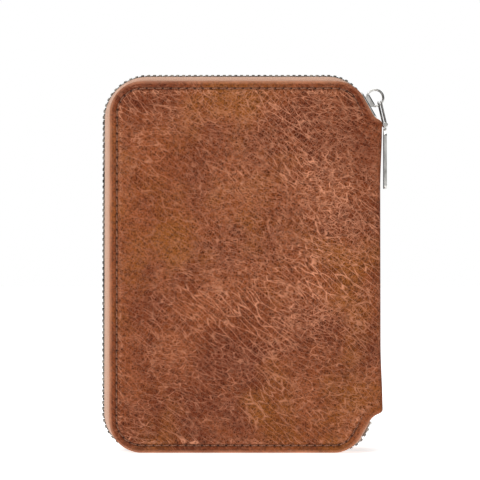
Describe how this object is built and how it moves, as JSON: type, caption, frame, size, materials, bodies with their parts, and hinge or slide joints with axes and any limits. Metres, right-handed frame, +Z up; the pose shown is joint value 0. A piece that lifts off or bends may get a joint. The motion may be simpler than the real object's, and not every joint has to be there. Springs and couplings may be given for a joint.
{
  "type": "zip around wallet",
  "caption": "Zip around wallet: leather covers folding on a flat spine, a zip round the open sides with a ring and tab pull, and card slots and pockets inside.",
  "frame": {"origin": "middle of the whole object's lower edge, standing upright and closed", "axes": "+X from the fore edge to the spine, +Z up, and the front cover faces -Y"},
  "size_m": [0.1153, 0.024, 0.1514],
  "materials": {
    "cover_leather": "waxed pull-up leather, mottled mid brown with creases",
    "pocket_leather": "smooth thin leather",
    "board": "grey stiffening board",
    "lining": "plain woven lining",
    "thread": "waxed thread",
    "zip_tape": "woven tape, tan",
    "zip_teeth": "nickel-plated",
    "nickel": "polished nickel"
  },
  "bodies": {
    "back_cover": {"back_leather": "cover_leather", "back_board": "board", "back_lining": "lining", "back_stitching": "thread", "back_zip_tape": "zip_tape", "back_teeth": "zip_teeth", "back_slip_pocket": "pocket_leather", "passport_pocket": "pocket_leather"},
    "spine": {"spine_leather": "cover_leather", "spine_lining": "lining", "top_end_tapes": "zip_tape", "top_end_teeth": "zip_teeth", "top_stops": "nickel", "bottom_end_tapes": "zip_tape", "bottom_end_teeth": "zip_teeth", "bottom_stop": "nickel"},
    "front_cover": {"front_leather": "cover_leather", "front_board": "board", "front_lining": "lining", "front_stitching": "thread", "front_zip_tape": "zip_tape", "front_teeth": "zip_teeth", "front_slip_pocket": "pocket_leather", "card_slot_1": "pocket_leather", "card_slot_2": "pocket_leather", "card_slot_3": "pocket_leather", "card_slot_4": "pocket_leather", "card_slot_5": "pocket_leather"},
    "slider": {"slider_body": "nickel", "slider_crown": "nickel"},
    "ring": {"pull_ring": "nickel"},
    "link": {"pull_link": "nickel", "pull_pin": "nickel"},
    "blade": {"pull_blade": "nickel"}
  },
  "joints": [
    {"name": "back_fold", "type": "hinge", "parent": "back_cover", "child": "spine", "pos_m": [0.0517, 0.01, 0.074], "axis": [0, 0, 1], "range_deg": [0, 90]},
    {"name": "front_fold", "type": "hinge", "parent": "spine", "child": "front_cover", "pos_m": [0.0517, -0.01, 0.074], "axis": [0, 0, 1], "range_deg": [0, 90]},
    {"name": "zip_travel", "type": "hinge", "parent": "spine", "child": "slider", "pos_m": [0.02769, 0, 0.12647], "axis": [0, 1, 0], "range_deg": [-60, 0], "deforming": ["front_teeth", "back_teeth", "front_zip_tape", "back_zip_tape", "top_end_teeth", "top_end_tapes"]},
    {"name": "ring_swing", "type": "hinge", "parent": "slider", "child": "ring", "pos_m": [0.04975, 0, 0.14082], "axis": [0.5, 0, -0.866], "range_deg": [-25, 25]},
    {"name": "link_swing", "type": "hinge", "parent": "ring", "child": "link", "pos_m": [0.05261, 0, 0.14247], "axis": [0, -1, 0], "range_deg": [0, 75]},
    {"name": "blade_swing", "type": "hinge", "parent": "link", "child": "blade", "pos_m": [0.05655, 0, 0.13147], "axis": [0, -1, 0], "range_deg": [-2, 90]}
  ],
  "couplings": [
    {"joint": "front_fold", "follows": "back_fold", "ratio": 1}
  ]
}
